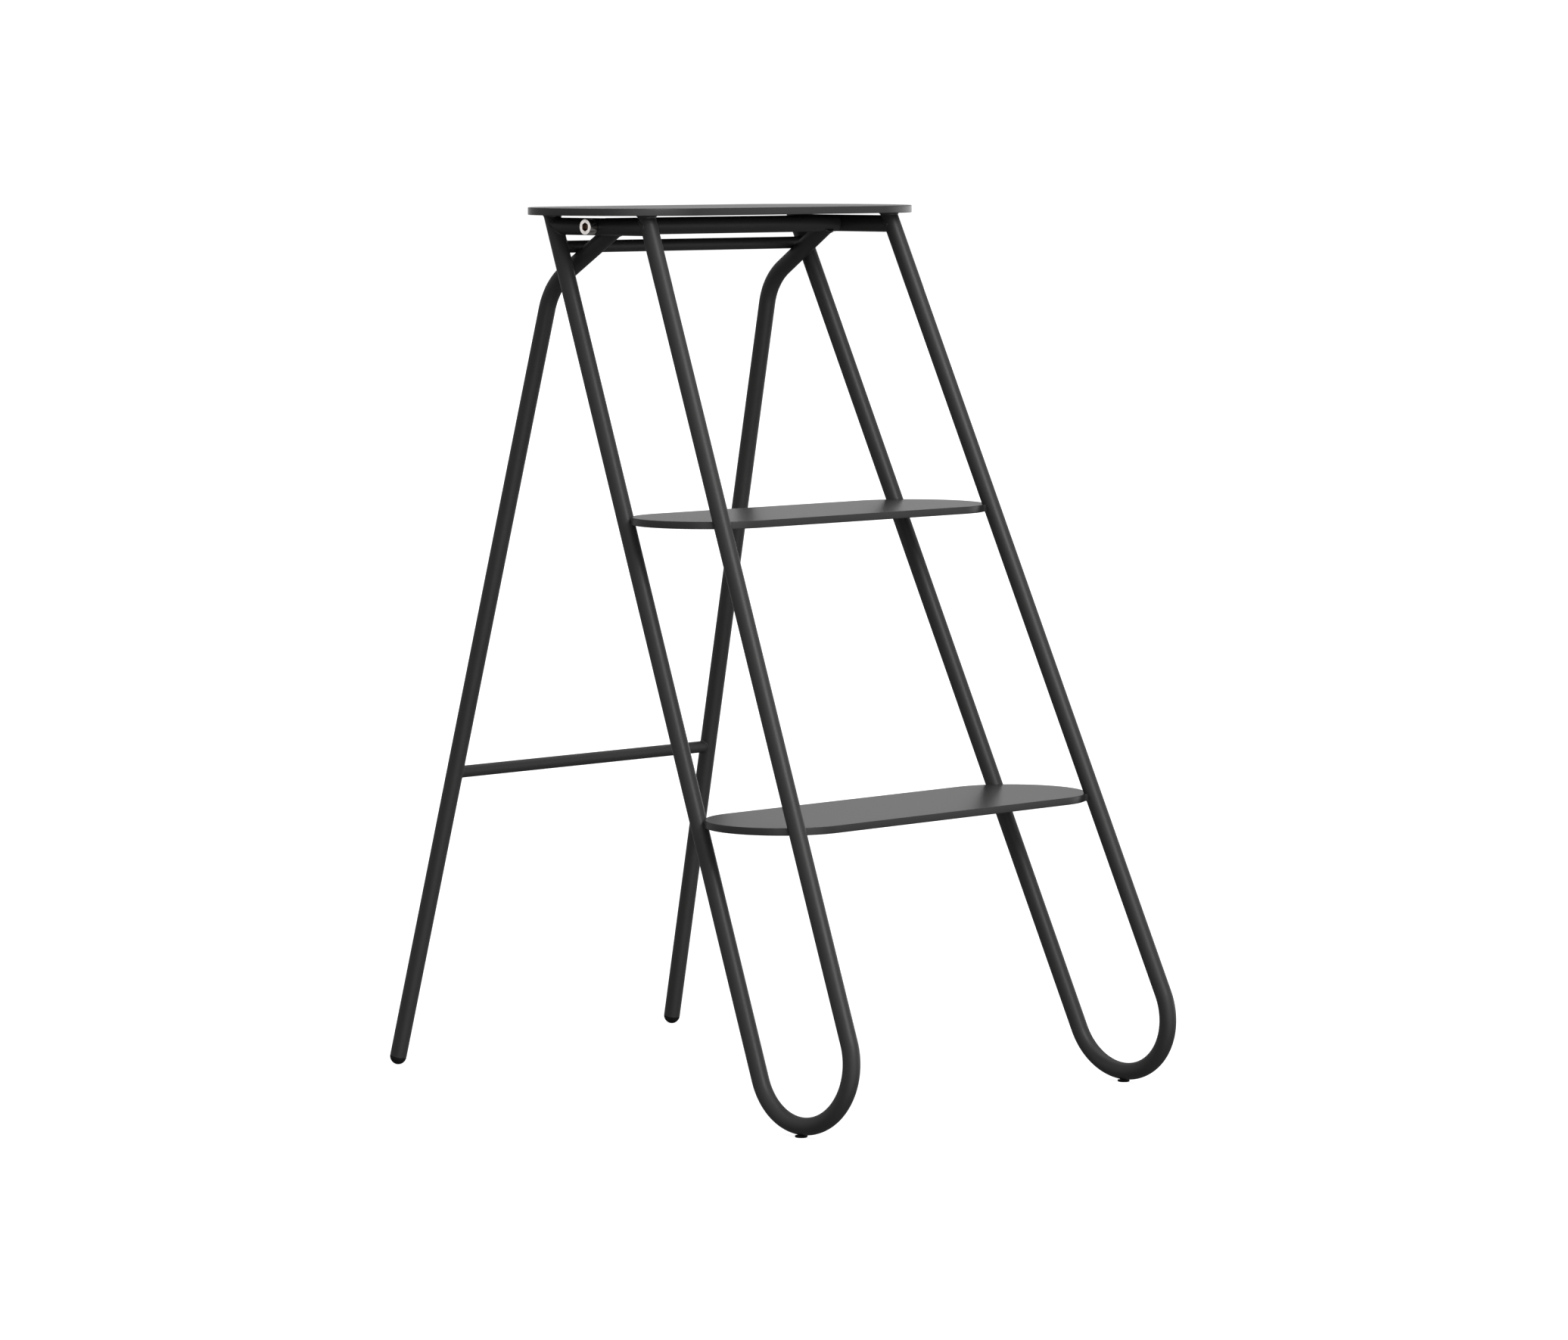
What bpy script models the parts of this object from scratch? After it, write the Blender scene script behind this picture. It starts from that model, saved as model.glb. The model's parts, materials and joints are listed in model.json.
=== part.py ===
"""Folding step ladder with three levels: a platform and two treads of flat plate with round ends,
carried by two leaning hairpin legs of bent tube, and a bent-tube rear frame that swings on a hinge
tube under the platform. Metres, +Z up. The origin is the centre of the footprint on the floor, the
user climbs from the -Y side, and left is -X."""

import math

import bmesh
import bpy
from mathutils import Matrix, Vector

# ---------------------------------------------------------------- driving dimensions
GAP = 0.0003                    # left between two solids that touch on the real object

TUBE_RADIUS = 0.007             # main tube, 14 mm outside
TUBE_WALL = 0.0015
ROD_RADIUS = 0.005              # rear brace and stop rail, 10 mm rod
TUBE_SIDES = 20

PLATE_THICKNESS = 0.006
PLATE_CHAMFER = 0.0005
PLATE_END_STEPS = 24            # facets of each half-round plate end

PLATFORM_TOP = 0.720            # heights of the standing faces over the floor
MIDDLE_TREAD_TOP = 0.4736
BOTTOM_TREAD_TOP = 0.2389
PLATFORM_SIZE = (0.3790, 0.1675)          # length along X, depth along Y
MIDDLE_TREAD_SIZE = (0.3631, 0.1215)
BOTTOM_TREAD_SIZE = (0.3958, 0.1218)
MIDDLE_TREAD_SETBACK = -0.1014            # plate centres, along Y from the platform's centre
BOTTOM_TREAD_SETBACK = -0.1999

# Hairpin legs. Slopes are a run along X or Y for each metre of drop, from the platform's top face.
HAIRPIN_HALF_WIDTH = 0.14135
HAIRPIN_SPLAY = 0.0711
HAIRPIN_LEAN = 0.420
HAIRPIN_MIDDLE = 0.0029         # Y of the point midway between its two tubes, from the platform's centre
HAIRPIN_BEND = 0.0504           # centreline radius
HAIRPIN_BEND_STEPS = 18

# Rear frame, open and resting on the stop rail.
LEG_HALF_WIDTH = 0.1247
LEG_SPLAY = 0.0527
LEG_START = 0.0547
LEG_SLOPE = 0.2373
LEG_CORNER_DROP = 0.06415       # where the leg's line meets the arm's, under the platform's top face
LEG_BEND = 0.050
LEG_BEND_STEPS = 8
ARM_START_X = 0.1236            # where the arm's line passes under the hinge axis
ARM_UNDER_HINGE = 0.0022
BRACE_HEIGHT = 0.250

# Hinge.
HINGE_DROP = 0.01535            # under the platform's top face, over the platform's centre line
BUSH_FLANGE = 0.0010
BUSH_FLANGE_RADIUS = 0.0066
BUSH_RADIUS = 0.0050
BUSH_BORE = 0.0043
BUSH_SLEEVE = 0.0112
INSERT_RADIUS = 0.0052
INSERT_BORE = 0.0043
INSERT_LENGTH = 0.018
BOLT_HEAD_RADIUS = 0.0065
BOLT_HEAD_HEIGHT = 0.008
BOLT_HEAD_CHAMFER = 0.0006
BOLT_SHANK_RADIUS = 0.004
BOLT_REACH = 0.014              # of the shank inside the threaded insert
SOCKET_ACROSS_FLATS = 0.006
SOCKET_DEPTH = 0.004

# Feet.
PAD_RADIUS = 0.005
PAD_THICKNESS = 0.0015
PAD_CHAMFER = 0.0004
PAD_STEM_RADIUS = 0.002
PAD_STEM_LENGTH = 0.004
CAP_DOME = 0.007
CAP_DOME_STEPS = 7
CAP_STEM_RADIUS = 0.0052
CAP_STEM_LENGTH = 0.014

CUTTER_MARGIN = 3 * TUBE_RADIUS # how far a cutter runs past what it cuts
SMOOTH_ANGLE = 40               # edges that turn less than this many degrees are shaded smooth
SIDES = {"left": -1, "right": 1}
ENDS = {"front": -1, "rear": 1} # of a hairpin, which has one tube at each


# ---------------------------------------------------------------- small tools
def clear_scene():
    for obj in list(bpy.data.objects):
        bpy.data.objects.remove(obj, do_unlink=True)


def material(name, color, roughness, metallic=0.0):
    made = bpy.data.materials.new(name)
    made.use_nodes = True
    shader = made.node_tree.nodes["Principled BSDF"]
    shader.inputs["Base Color"].default_value = (*color, 1.0)
    shader.inputs["Roughness"].default_value = roughness
    shader.inputs["Metallic"].default_value = metallic
    return made


def black_powder_coat(name):
    return material(name + "_coat", (0.022, 0.022, 0.023), 0.42)


def black_rubber(name):
    return material(name + "_rubber", (0.012, 0.012, 0.012), 0.75)


def black_nylon(name):
    return material(name + "_nylon", (0.02, 0.02, 0.02), 0.5)


def bright_steel(name):
    return material(name + "_steel", (0.62, 0.60, 0.57), 0.22, 1.0)


def make(name, bm, finish, parent=None):
    """An object from a bmesh built in world space, hung under parent without moving."""
    bmesh.ops.recalc_face_normals(bm, faces=bm.faces)
    mesh = bpy.data.meshes.new(name)
    if parent:
        bmesh.ops.translate(bm, verts=bm.verts, vec=-parent.location)
    bm.to_mesh(mesh)
    bm.free()
    obj = bpy.data.objects.new(name, mesh)
    bpy.context.collection.objects.link(obj)
    obj.parent = parent
    if finish:
        mesh.materials.append(finish(name))
        mesh.shade_smooth()
        mesh.set_sharp_from_angle(angle=math.radians(SMOOTH_ANGLE))
    return obj


def cut(obj, *cutters):
    for cutter in cutters:
        boolean = obj.modifiers.new("cut_by_" + cutter.name, "BOOLEAN")
        boolean.object = cutter
        boolean.operation = "DIFFERENCE"
        boolean.solver = "EXACT"


def cutter(name, bm, parent=None):
    obj = make(name, bm, None, parent)
    obj.hide_render = True
    obj.display_type = "WIRE"
    return obj


def ring(bm, center, normal, side, radius, sides):
    """A circle of vertices about center. side is a direction in its plane, where it starts."""
    other = normal.cross(side)
    turns = (2 * math.pi * k / sides for k in range(sides))
    return [bm.verts.new(center + radius * (math.cos(a) * side + math.sin(a) * other)) for a in turns]


def skin(bm, rings):
    for low, high in zip(rings, rings[1:]):
        for k, vert in enumerate(low):
            after = (k + 1) % len(low)
            bm.faces.new((vert, low[after], high[after], high[k]))


def sweep(path, radius, inner=None, sides=TUBE_SIDES, flat_top=None):
    """A tube along the points of path, solid, or hollow with open ends where inner is a radius.
    flat_top is a height that both ends are cut off at, level, as they are where they meet a plate."""
    bm = bmesh.new()
    steps = [(b - a).normalized() for a, b in zip(path, path[1:])]
    tangents = [steps[0], *((a + b).normalized() for a, b in zip(steps, steps[1:])), steps[-1]]
    side = tangents[0].orthogonal().normalized()
    skins = [[], []]
    for point, tangent in zip(path, tangents):
        side = (side - tangent * side.dot(tangent)).normalized()
        skins[0].append(ring(bm, point, tangent, side, radius, sides))
        if inner:
            skins[1].append(ring(bm, point, tangent, side, inner, sides))
    if flat_top is not None:
        for rings in filter(None, skins):
            for verts, tangent in ((rings[0], tangents[0]), (rings[-1], tangents[-1])):
                for vert in verts:
                    vert.co += tangent * ((flat_top - vert.co.z) / tangent.z)
    skin(bm, skins[0])
    if inner:
        skin(bm, skins[1])
        for end in (0, -1):
            skin(bm, (skins[0][end], skins[1][end]))
    else:
        bm.faces.new(skins[0][0])
        bm.faces.new(skins[0][-1])
    return bm


def turned(profile, place, sides=TUBE_SIDES):
    """A piece turned about +Z from (radius, height) points, then put in place. It is closed at the
    axis, or where the last point is the first again, it is a ring."""
    bm = bmesh.new()
    up, side = Vector((0, 0, 1)), Vector((1, 0, 0))
    rings = []
    for radius, height in profile:
        center = Vector((0, 0, height))
        if radius == 0:
            rings.append([bm.verts.new(center)])
        else:
            rings.append(ring(bm, center, up, side, radius, sides))
    for low, high in zip(rings, rings[1:]):
        for k in range(sides):
            after = (k + 1) % sides
            corners = {low[k % len(low)]: 0, low[after % len(low)]: 0,
                       high[after % len(high)]: 0, high[k % len(high)]: 0}
            bm.faces.new(list(corners))
    bmesh.ops.remove_doubles(bm, verts=bm.verts, dist=1e-6)
    bmesh.ops.transform(bm, matrix=place, verts=bm.verts)
    return bm


def bar(start, end, radius, sides=TUBE_SIDES):
    return sweep([start, end], radius, sides=sides)


def axis_matrix(origin, direction):
    """Puts a piece that is built along +Z at origin, pointing along direction."""
    return Matrix.Translation(origin) @ direction.to_track_quat("Z", "Y").to_matrix().to_4x4()


# ---------------------------------------------------------------- lines that the tubes follow
def slope_direction(side, splay, run):
    return Vector((side * splay, run, -1)).normalized()


def hairpin_point(side, height, offset=0.0):
    """On the hairpin's middle line at a height, or offset along Y from it."""
    drop = PLATFORM_TOP - height
    return Vector((side * (HAIRPIN_HALF_WIDTH + HAIRPIN_SPLAY * drop),
                   FOOTPRINT_SHIFT + HAIRPIN_MIDDLE - HAIRPIN_LEAN * drop + offset, height))


def leg_point(side, height):
    drop = PLATFORM_TOP - height
    return Vector((side * (LEG_HALF_WIDTH + LEG_SPLAY * drop),
                   FOOTPRINT_SHIFT + LEG_START + LEG_SLOPE * drop, height))


HAIRPIN_DOWN = slope_direction(1, HAIRPIN_SPLAY, -HAIRPIN_LEAN)
LEG_DOWN = slope_direction(1, LEG_SPLAY, LEG_SLOPE)
# The hairpin's bend lies in the plane of its tubes, which holds the Y axis.
TUBE_OFFSET = HAIRPIN_BEND / math.sqrt(1 - HAIRPIN_DOWN.y ** 2)      # half of the spacing along Y
BEND_DROP = HAIRPIN_BEND / math.hypot(1, HAIRPIN_SPLAY)              # from bend centre to lowest point
BEND_HEIGHT = PAD_THICKNESS + GAP + TUBE_RADIUS + BEND_DROP
# The cap's dome is half an ellipsoid about the leg's axis, and its lowest point is on the floor.
LEG_TILT = math.acos(-LEG_DOWN.z)
LEG_END_HEIGHT = math.hypot(TUBE_RADIUS * math.sin(LEG_TILT), CAP_DOME * math.cos(LEG_TILT))

# Everything is set out from the platform's centre and then shifted, so that the footprint is centred.
FRONT_REACH = (HAIRPIN_MIDDLE - HAIRPIN_LEAN * (PLATFORM_TOP - BEND_HEIGHT)
               - HAIRPIN_BEND - TUBE_RADIUS)
BACK_REACH = (LEG_START + LEG_SLOPE * (PLATFORM_TOP - LEG_END_HEIGHT)
              + TUBE_RADIUS * math.sqrt(1 - LEG_DOWN.y ** 2))
FOOTPRINT_SHIFT = -(FRONT_REACH + BACK_REACH) / 2

HINGE_HEIGHT = PLATFORM_TOP - HINGE_DROP
HINGE = Vector((0, FOOTPRINT_SHIFT, HINGE_HEIGHT))
RAIL_X = HAIRPIN_HALF_WIDTH + HAIRPIN_SPLAY * HINGE_DROP
HINGE_TUBE_END = RAIL_X - TUBE_RADIUS - BUSH_FLANGE - 2 * GAP


def arm_start(side):
    return Vector((side * ARM_START_X, HINGE.y, HINGE.z - ARM_UNDER_HINGE))


def arm_corner(side):
    return leg_point(side, PLATFORM_TOP - LEG_CORNER_DROP)


def stop_rail_center():
    """On the axes of the hairpins' rear tubes, at the height where the arms press up against it."""
    run = arm_corner(1).y - arm_start(1).y
    fall = (arm_start(1).z - arm_corner(1).z) / run
    contact = (TUBE_RADIUS + ROD_RADIUS + GAP) * math.hypot(1, fall)
    back = hairpin_point(1, PLATFORM_TOP, TUBE_OFFSET).y - HINGE.y
    height = ((arm_start(1).z + contact - fall * (back - HAIRPIN_LEAN * PLATFORM_TOP))
              / (1 + fall * HAIRPIN_LEAN))
    return Vector((0, hairpin_point(1, height, TUBE_OFFSET).y, height))


# ---------------------------------------------------------------- plates
def plate(size, center_y, top):
    """A flat plate with half-round ends and lightly broken edges."""
    length, depth = size
    radius, straight = depth / 2, (length - depth) / 2
    turns = [math.pi * (k / PLATE_END_STEPS - 0.5) for k in range(PLATE_END_STEPS + 1)]
    bm = bmesh.new()
    rings = []
    for down, inset in ((0, PLATE_CHAMFER), (PLATE_CHAMFER, 0),
                        (PLATE_THICKNESS - PLATE_CHAMFER, 0), (PLATE_THICKNESS, PLATE_CHAMFER)):
        reach = radius - inset
        rings.append([bm.verts.new((side * (straight + reach * math.cos(a)),
                                    center_y + side * reach * math.sin(a), top - down))
                      for side in (1, -1) for a in turns])
    skin(bm, rings)
    bm.faces.new(rings[0])
    bm.faces.new(rings[-1])
    return bm


def tube_cutter(name, side, end, low, high):
    """A cylinder along one tube of a hairpin, a hair wider than the tube, past both heights."""
    offset = ENDS[end] * TUBE_OFFSET
    run = [hairpin_point(side, height, offset) for height in (low - CUTTER_MARGIN, high + CUTTER_MARGIN)]
    return cutter(name, bar(*run, TUBE_RADIUS + GAP))


def make_plates():
    """The platform, on top of the tubes, and the treads, whose ends are cut to fit round the tubes."""
    make("platform", plate(PLATFORM_SIZE, FOOTPRINT_SHIFT, PLATFORM_TOP), black_powder_coat)
    treads = {"middle_tread": (MIDDLE_TREAD_SIZE, MIDDLE_TREAD_SETBACK, MIDDLE_TREAD_TOP),
              "bottom_tread": (BOTTOM_TREAD_SIZE, BOTTOM_TREAD_SETBACK, BOTTOM_TREAD_TOP)}
    for name, (size, setback, top) in treads.items():
        tread = make(name, plate(size, FOOTPRINT_SHIFT + setback, top), black_powder_coat)
        for hand, side in SIDES.items():
            for end in ENDS:
                cut(tread, tube_cutter(f"{name}_scallop_{end}_{hand}", side, end, top - PLATE_THICKNESS, top))


# ---------------------------------------------------------------- front frame
def hairpin_path(side):
    down = Vector((side * HAIRPIN_DOWN.x, HAIRPIN_DOWN.y, HAIRPIN_DOWN.z))
    across = Vector((0, 1, 0)) - down * down.y
    across.normalize()
    center = hairpin_point(side, BEND_HEIGHT)
    turns = [math.pi * k / HAIRPIN_BEND_STEPS for k in range(HAIRPIN_BEND_STEPS + 1)]
    bend = [center + HAIRPIN_BEND * (down * math.sin(a) - across * math.cos(a)) for a in turns]
    top = PLATFORM_TOP - PLATE_THICKNESS - GAP
    return [hairpin_point(side, top, -TUBE_OFFSET), *bend, hairpin_point(side, top, TUBE_OFFSET)]


def pad_point(side):
    """On the floor, under the lowest point of the hairpin's bend."""
    center = hairpin_point(side, BEND_HEIGHT)
    return Vector((center.x + side * BEND_DROP * HAIRPIN_SPLAY, center.y, 0))


def make_front_frame():
    top = PLATFORM_TOP - PLATE_THICKNESS - GAP
    for hand, side in SIDES.items():
        leg = make(f"hairpin_leg_{hand}",
                   sweep(hairpin_path(side), TUBE_RADIUS, TUBE_RADIUS - TUBE_WALL, flat_top=top),
                   black_powder_coat)
        foot = pad_point(side)
        hole_top = PAD_THICKNESS + PAD_STEM_LENGTH + 2 * GAP
        hole = bar(foot, foot + Vector((0, 0, hole_top)), PAD_STEM_RADIUS + GAP)
        cut(leg, cutter(f"pad_hole_{hand}", hole))

        stem_top = PAD_THICKNESS + PAD_STEM_LENGTH
        pad = [(0, 0), (PAD_RADIUS - PAD_CHAMFER, 0), (PAD_RADIUS, PAD_CHAMFER),
               (PAD_RADIUS, PAD_THICKNESS), (PAD_STEM_RADIUS, PAD_THICKNESS),
               (PAD_STEM_RADIUS, stem_top), (0, stem_top)]
        make(f"foot_pad_{hand}", turned(pad, Matrix.Translation(foot)), black_rubber)

        run = [hairpin_point(side, HINGE_HEIGHT, offset * TUBE_OFFSET) for offset in ENDS.values()]
        rail = make(f"fore_aft_rail_{hand}", sweep(run, TUBE_RADIUS, TUBE_RADIUS - TUBE_WALL),
                    black_powder_coat)
        for end in ENDS:
            cut(rail, tube_cutter(f"rail_cope_{end}_{hand}", side, end, HINGE_HEIGHT, PLATFORM_TOP))
        across = Vector((2 * TUBE_RADIUS, 0, 0))
        pivot = Vector((side * RAIL_X, HINGE.y, HINGE.z))
        cut(rail, cutter(f"rail_cross_hole_{hand}", bar(pivot - across, pivot + across, BUSH_RADIUS + GAP)))

        make_bush(hand, side)

    center = stop_rail_center()
    reach = Vector((HAIRPIN_HALF_WIDTH + HAIRPIN_SPLAY * (PLATFORM_TOP - center.z), 0, 0))
    rail = make("stop_rail", bar(center - reach, center + reach, ROD_RADIUS), black_powder_coat)
    for hand, side in SIDES.items():
        cut(rail, tube_cutter(f"stop_cope_{hand}", side, "rear", center.z, center.z))


def make_bush(hand, side):
    """A flanged bush: its flange keeps the hinge tube off the rail, and its sleeve lines the rail."""
    start = Vector((side * (HINGE_TUBE_END + GAP), HINGE.y, HINGE.z))
    profile = [(BUSH_BORE, 0), (BUSH_FLANGE_RADIUS, 0), (BUSH_FLANGE_RADIUS, BUSH_FLANGE),
               (BUSH_RADIUS, BUSH_FLANGE), (BUSH_RADIUS, BUSH_FLANGE + BUSH_SLEEVE),
               (BUSH_BORE, BUSH_FLANGE + BUSH_SLEEVE), (BUSH_BORE, 0)]
    make(f"hinge_bush_{hand}", turned(profile, axis_matrix(start, Vector((side, 0, 0)))), black_nylon)


# ---------------------------------------------------------------- rear frame
def rounded_corner(before, corner, after, radius, steps):
    """Points of the arc that rounds a corner between two straight runs."""
    a, b = (before - corner).normalized(), (after - corner).normalized()
    half = a.angle(b) / 2
    center = corner + (a + b).normalized() * (radius / math.sin(half))
    start, end = (corner + ray * (radius / math.tan(half)) - center for ray in (a, b))
    turn = start.angle(end)
    axis = start.cross(end).normalized()
    return [center + Matrix.Rotation(turn * k / steps, 3, axis) @ start for k in range(steps + 1)]


def rear_leg_path(side):
    under, corner, foot = arm_start(side), arm_corner(side), leg_point(side, LEG_END_HEIGHT)
    along = (corner - under).normalized()
    start = under + along * (HINGE - under).dot(along) - along * (along.x * (HINGE.x - under.x))
    straight_end = foot + (corner - foot).normalized() * GAP
    return [start, *rounded_corner(start, corner, foot, LEG_BEND, LEG_BEND_STEPS), straight_end]


def make_rear_frame():
    pivot = bpy.data.objects.new("rear_frame_pivot", None)
    pivot.location = HINGE
    bpy.context.collection.objects.link(pivot)

    across = Vector((HINGE_TUBE_END, 0, 0))
    make("hinge_tube", sweep([HINGE - across, HINGE + across], TUBE_RADIUS, TUBE_RADIUS - TUBE_WALL),
         black_powder_coat, pivot)
    cope = cutter("arm_cope", bar(HINGE - across, HINGE + across, TUBE_RADIUS + GAP, 2 * TUBE_SIDES), pivot)

    ends = [leg_point(side, BRACE_HEIGHT) for side in SIDES.values()]
    brace = make("rear_brace", bar(*ends, ROD_RADIUS), black_powder_coat, pivot)

    for hand, side in SIDES.items():
        leg = make(f"rear_leg_{hand}", sweep(rear_leg_path(side), TUBE_RADIUS, TUBE_RADIUS - TUBE_WALL),
                   black_powder_coat, pivot)
        cut(leg, cope)
        run = [leg_point(side, BRACE_HEIGHT + rise) for rise in (-CUTTER_MARGIN, CUTTER_MARGIN)]
        cut(brace, cutter(f"brace_cope_{hand}", bar(*run, TUBE_RADIUS + GAP), pivot))
        make_end_cap(hand, side, pivot)
        make_pivot_bolt(hand, side, pivot)


def make_end_cap(hand, side, pivot):
    """A domed plug: the dome is flush with the tube, and its stem is pushed into the tube."""
    down = Vector((side * LEG_DOWN.x, LEG_DOWN.y, LEG_DOWN.z))
    turns = [math.pi / 2 * k / CAP_DOME_STEPS for k in range(CAP_DOME_STEPS)]
    dome = [(TUBE_RADIUS * math.cos(a), CAP_DOME * math.sin(a)) for a in turns]
    profile = [(0, -CAP_STEM_LENGTH), (CAP_STEM_RADIUS, -CAP_STEM_LENGTH), (CAP_STEM_RADIUS, 0),
               *dome, (0, CAP_DOME)]
    make(f"rear_end_cap_{hand}", turned(profile, axis_matrix(leg_point(side, LEG_END_HEIGHT), down)),
         black_rubber, pivot)


def make_pivot_bolt(hand, side, pivot):
    """A socket cap screw along the hinge axis, and the threaded insert that it holds in."""
    outward = Vector((side, 0, 0))
    tube_end = HINGE + outward * HINGE_TUBE_END
    insert = [(INSERT_BORE, -INSERT_LENGTH), (INSERT_RADIUS, -INSERT_LENGTH), (INSERT_RADIUS, -GAP),
              (INSERT_BORE, -GAP), (INSERT_BORE, -INSERT_LENGTH)]
    make(f"threaded_insert_{hand}", turned(insert, axis_matrix(tube_end, outward)), bright_steel, pivot)

    seat = RAIL_X + TUBE_RADIUS + GAP
    tip = HINGE_TUBE_END - BOLT_REACH - seat
    screw = [(0, tip), (BOLT_SHANK_RADIUS - BOLT_HEAD_CHAMFER, tip),
             (BOLT_SHANK_RADIUS, tip + BOLT_HEAD_CHAMFER), (BOLT_SHANK_RADIUS, 0), (BOLT_HEAD_RADIUS, 0),
             (BOLT_HEAD_RADIUS, BOLT_HEAD_HEIGHT - BOLT_HEAD_CHAMFER),
             (BOLT_HEAD_RADIUS - BOLT_HEAD_CHAMFER, BOLT_HEAD_HEIGHT), (0, BOLT_HEAD_HEIGHT)]
    seat_point = Vector((side * seat, HINGE.y, HINGE.z))
    bolt = make(f"pivot_bolt_{hand}", turned(screw, axis_matrix(seat_point, outward)), bright_steel, pivot)
    corner = SOCKET_ACROSS_FLATS / math.sqrt(3)
    floor = seat_point + outward * (BOLT_HEAD_HEIGHT - SOCKET_DEPTH)
    socket = bmesh.new()
    mouth = SOCKET_DEPTH + CUTTER_MARGIN
    hexagons = [ring(socket, floor + outward * rise, outward, Vector((0, 0, 1)), corner, 6)
                for rise in (0, mouth)]
    skin(socket, hexagons)
    socket.faces.new(hexagons[0])
    socket.faces.new(hexagons[1])
    cut(bolt, cutter(f"hex_socket_{hand}", socket, pivot))


clear_scene()
make_plates()
make_front_frame()
make_rear_frame()
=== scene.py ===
import json
import math

import bmesh
import bpy
from mathutils import Matrix, Vector


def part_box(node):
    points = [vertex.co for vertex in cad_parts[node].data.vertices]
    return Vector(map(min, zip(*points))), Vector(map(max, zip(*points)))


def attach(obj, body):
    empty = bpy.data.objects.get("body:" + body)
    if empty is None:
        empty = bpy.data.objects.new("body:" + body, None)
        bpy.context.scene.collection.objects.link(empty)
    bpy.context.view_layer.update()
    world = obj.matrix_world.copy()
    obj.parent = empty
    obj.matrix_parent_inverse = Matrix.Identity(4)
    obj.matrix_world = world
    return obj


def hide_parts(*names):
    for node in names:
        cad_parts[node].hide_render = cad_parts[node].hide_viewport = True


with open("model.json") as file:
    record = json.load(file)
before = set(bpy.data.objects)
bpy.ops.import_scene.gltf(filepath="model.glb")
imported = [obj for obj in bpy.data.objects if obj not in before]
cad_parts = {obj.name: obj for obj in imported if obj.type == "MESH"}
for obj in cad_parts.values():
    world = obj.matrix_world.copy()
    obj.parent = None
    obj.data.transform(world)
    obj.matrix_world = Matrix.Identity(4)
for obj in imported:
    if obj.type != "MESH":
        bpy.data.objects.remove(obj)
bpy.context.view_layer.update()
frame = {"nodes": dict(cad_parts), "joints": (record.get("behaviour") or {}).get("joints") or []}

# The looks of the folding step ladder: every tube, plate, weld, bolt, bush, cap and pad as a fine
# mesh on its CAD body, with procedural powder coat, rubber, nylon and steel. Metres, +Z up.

# ---------------------------------------------------------------- dimensions, as in the CAD source
GAP = 0.0003
TUBE_RADIUS = 0.007
TUBE_WALL = 0.0015
ROD_RADIUS = 0.005

HAIRPIN_HALF_WIDTH = 0.14135    # slopes are a run along X or Y for each metre of drop
HAIRPIN_SPLAY = 0.0711
HAIRPIN_LEAN = 0.420
HAIRPIN_MIDDLE = 0.0029
HAIRPIN_BEND = 0.0504

LEG_HALF_WIDTH = 0.1247
LEG_SPLAY = 0.0527
LEG_START = 0.0547
LEG_SLOPE = 0.2373
LEG_CORNER_DROP = 0.06415
LEG_BEND = 0.050
ARM_START_X = 0.1236
ARM_UNDER_HINGE = 0.0022

BUSH_FLANGE = 0.0010
BUSH_FLANGE_RADIUS = 0.0066
BUSH_RADIUS = 0.0050
BUSH_BORE = 0.0043
BUSH_SLEEVE = 0.0112
BOLT_HEAD_RADIUS = 0.0065
BOLT_HEAD_HEIGHT = 0.008
BOLT_SHANK_RADIUS = 0.004
BOLT_REACH = 0.014
SOCKET_ACROSS_FLATS = 0.006
SOCKET_DEPTH = 0.004
PAD_RADIUS = 0.005
PAD_THICKNESS = 0.0015
PAD_STEM_RADIUS = 0.002
PAD_STEM_LENGTH = 0.004
CAP_DOME = 0.007
CAP_STEM_RADIUS = 0.0052
CAP_STEM_LENGTH = 0.014

# ---------------------------------------------------------------- detail of the looks
TUBE_SIDES = 48                 # facets round a tube
BEND_STEPS = 72                 # rings in a half turn of tube
PLATE_EDGE_RADIUS = 0.0005      # a sharper edge touches the folded rear legs
PLATE_END_STEPS = 72
ROUND_STEPS = 5                 # facets of a small rounded edge
CAP_STEPS = 16                  # facets of a cap's dome
SMALL_EDGE = 0.0004             # rounding of pads and screws
BUSH_EDGE = 0.0002
PAD_BOTTOM_RADIUS = PAD_THICKNESS * 0.55
CAP_CHAMFER = 0.0001            # where a cap leaves its tube
SOCKET_MOUTH = 0.0002           # countersink of the hexagon
SOCKET_DRILL_RADIUS = SOCKET_ACROSS_FLATS / 2 * 0.93
SOCKET_DRILL_DEPTH = 0.0012     # of the drilled cone below the hexagon

WELD_LEG = 0.0020               # of the fillets under the platform
WELD_HOLLOW = 0.22              # 0.5 is a flat face, and less is a hollow one
WELD_ROOT = 0.3                 # share of the leg that reaches into the corner
WELD_RIPPLE = 0.05              # share of a weld's size
WELD_PITCH = 0.0022             # between two ripples
BEAD_SIDES = 12
RAIL_BEAD = (0.00195, 0.001365)     # beads between tubes: radius, and how deep they are sunk
ARM_BEAD = (0.0013, 0.000585)
ROD_BEAD = (0.00104, 0.00039)
JOINT_WIDTH = 0.0108            # of the welds between treads and tubes
JOINT_ROOT = 0.004              # how far they reach back into the tread
JOINT_CORNER = 0.0006
# each flare is a distance to the tube, and how far the weld has risen there
JOINT_FLARES = ((0.0016, 0.0), (0.0010, 0.0001), (0.0005, 0.00035), (0.0, 0.0010))

SMOOTH_ANGLE = 35               # degrees between two faces that still shade as one
SCREW_SMOOTH_ANGLE = 28
JOINT_SMOOTH_ANGLE = 50
WELD_SMOOTH_ANGLE = 60

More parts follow.
